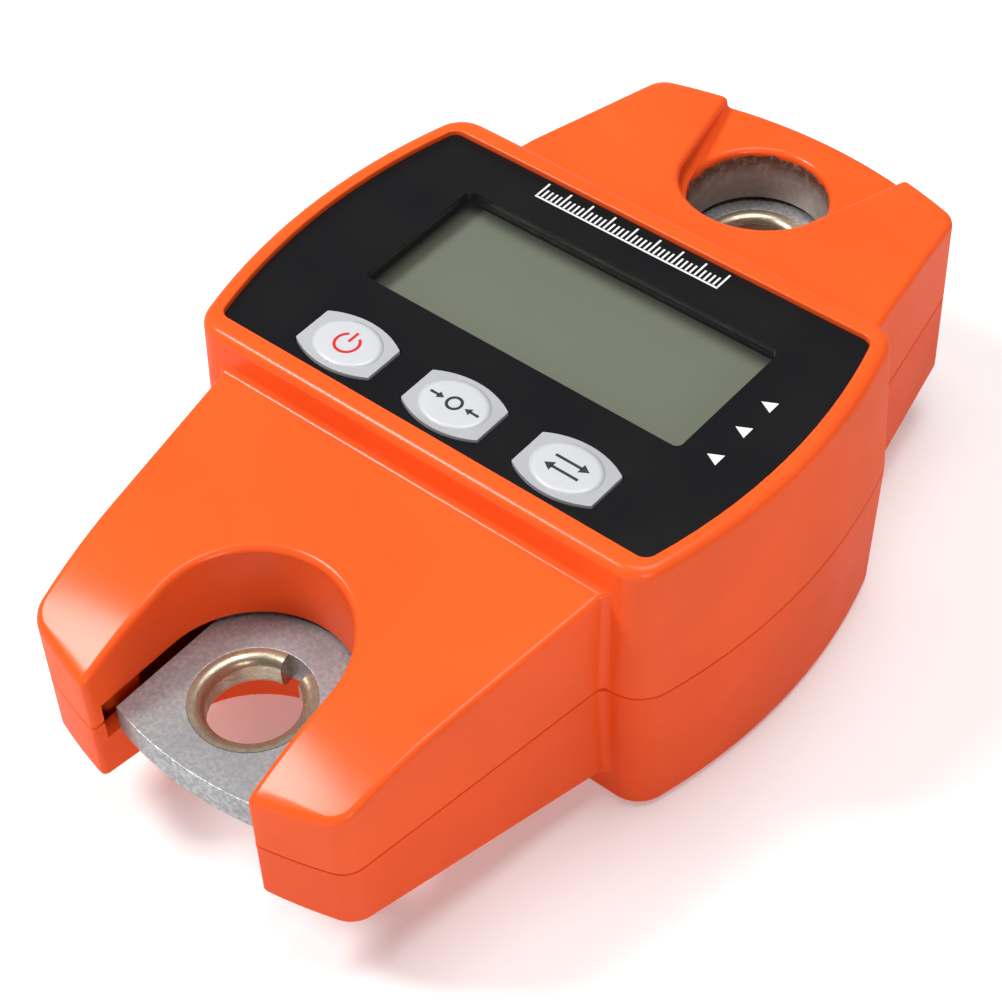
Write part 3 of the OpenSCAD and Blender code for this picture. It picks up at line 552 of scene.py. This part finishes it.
# a graduated strip above the window, and three pointers beside it
strip = dict(fromX=-18 * mm, toX=13.5 * mm, foot=20.9 * mm, tall=2.9 * mm, short=1.7 * mm,
             line=0.3 * mm, count=41, tallEvery=5, baseDrop=0.25 * mm)
panelMiddle = (panelLow + panelHigh) / 2


def buildStrip(shape):
    p = strip
    reach = p["toX"] - p["fromX"]
    foot = panelMiddle.y + p["foot"]
    for i in range(p["count"]):
        x = panelMiddle.x + p["fromX"] + reach * i / (p["count"] - 1)
        length = p["tall"] if i % p["tallEvery"] == 0 else p["short"]
        slab(shape, bar(x, foot + length / 2, p["line"], length), panelZ - inkSink,
             panelZ + inkDepth)
    base = bar(panelMiddle.x + (p["fromX"] + p["toX"]) / 2, foot - p["baseDrop"],
               reach + p["line"], p["line"])
    slab(shape, base, panelZ - inkSink, panelZ + inkDepth)


meshPiece("panelScale", "housing", "inkWhite", buildStrip)

pointers = dict(x=32 * mm, ys=(6.7 * mm, 1.0 * mm, -5.1 * mm), size=1.7 * mm)


def buildPointers(shape):
    for y in pointers["ys"]:
        cx, cy, s = panelMiddle.x + pointers["x"], panelMiddle.y + y, pointers["size"]
        triangle = [(cx - s * 0.6, cy), (cx + s * 0.6, cy - s * 0.62),
                    (cx + s * 0.6, cy + s * 0.62)]
        slab(shape, triangle, panelZ - inkSink, panelZ + inkDepth)


meshPiece("panelPointers", "housing", "inkWhite", buildPointers)
print("printed marks placed")


# floor, light and camera
stage = dict(size=3.0, roughness=0.9, colour=(0.83, 0.83, 0.83), drop=0.05 * mm, glow=(0.2, 0.9),
             glowFrom=0.2, glowTo=0.8)


def makeFloor():
    p = stage
    mesh = bpy.data.meshes.new("floor")
    half = p["size"] / 2
    mesh.from_pydata([(-half, -half, -p["drop"]), (half, -half, -p["drop"]),
                      (half, half, -p["drop"]), (-half, half, -p["drop"])], [], [(0, 1, 2, 3)])
    floor = bpy.data.objects.new("floor", mesh)
    bpy.context.scene.collection.objects.link(floor)
    material, tree, shader, place = startMaterial("paleFloor")
    cloud = noiseOf(tree, place, 6, 2)
    tree.links.new(mixColour(tree, cloud, p["colour"], [c * 0.985 for c in p["colour"]]),
                   shader.inputs["Base Color"])
    shader.inputs["Roughness"].default_value = p["roughness"]
    shader.inputs["Emission Color"].default_value = (1, 1, 1, 1)
    # far from the part the floor turns into an even white sweep
    far = addNode(tree, "ShaderNodeVectorMath", {0: place}, operation="LENGTH").outputs["Value"]
    tree.links.new(rampBetween(tree, far, p["glowFrom"], p["glowTo"], *p["glow"]),
                   shader.inputs["Emission Strength"])
    mesh.materials.append(material)


makeFloor()

studioLight = dict(ambient=0.10, backdrop=1.0)
lamps = [
    # name, place, size, power, aim
    ("keyBox", (-0.45, -0.30, 0.72), (0.24, 0.24), 7.0, (0, 0, 0.03)),
    ("topBox", (0.05, 0.12, 0.95), (0.52, 0.52), 6.2, (0, 0, 0.03)),
    ("rightFill", (0.75, -0.55, 0.45), (0.3, 0.3), 2.6, (0, 0, 0.02)),
    ("backSheen", (-0.62, 0.78, 0.28), (0.5, 0.25), 0.8, (0, 0, 0.02)),
]
for name, place, size, power, aim in lamps:
    lamp = bpy.data.lights.new(name, "AREA")
    lamp.shape = "RECTANGLE"
    lamp.size, lamp.size_y = size
    lamp.energy = power
    holder = bpy.data.objects.new(name, lamp)
    holder.location = place
    holder.rotation_euler = (Vector(aim) - Vector(place)).to_track_quat("-Z", "Y").to_euler()
    bpy.context.scene.collection.objects.link(holder)

world = bpy.data.worlds.new("studio")
world.use_nodes = True
sky = world.node_tree
sky.nodes["Background"].inputs[0].default_value = (1, 1, 1, 1)
seen = sky.nodes.new("ShaderNodeLightPath").outputs["Is Camera Ray"]   # a white backdrop
sky.links.new(rampBetween(sky, seen, 0, 1, studioLight["ambient"], studioLight["backdrop"]),
              sky.nodes["Background"].inputs[1])
bpy.context.scene.world = world

cameraPlace = dict(place=(0.15959, -0.18441, 0.28068), turn=(42.7513, 1.9477, 39.6634), lens=91.18)
eye = bpy.data.cameras.new("camera")
eye.lens = cameraPlace["lens"]
eye.sensor_width = 36
holder = bpy.data.objects.new("camera", eye)
holder.location = cameraPlace["place"]
holder.rotation_euler = [math.radians(a) for a in cameraPlace["turn"]]
bpy.context.scene.collection.objects.link(holder)
bpy.context.scene.camera = holder
bpy.context.scene.view_settings.view_transform = "Standard"   # plain colours, as a catalogue shows
print("studio ready")

bpy.context.view_layer.update()
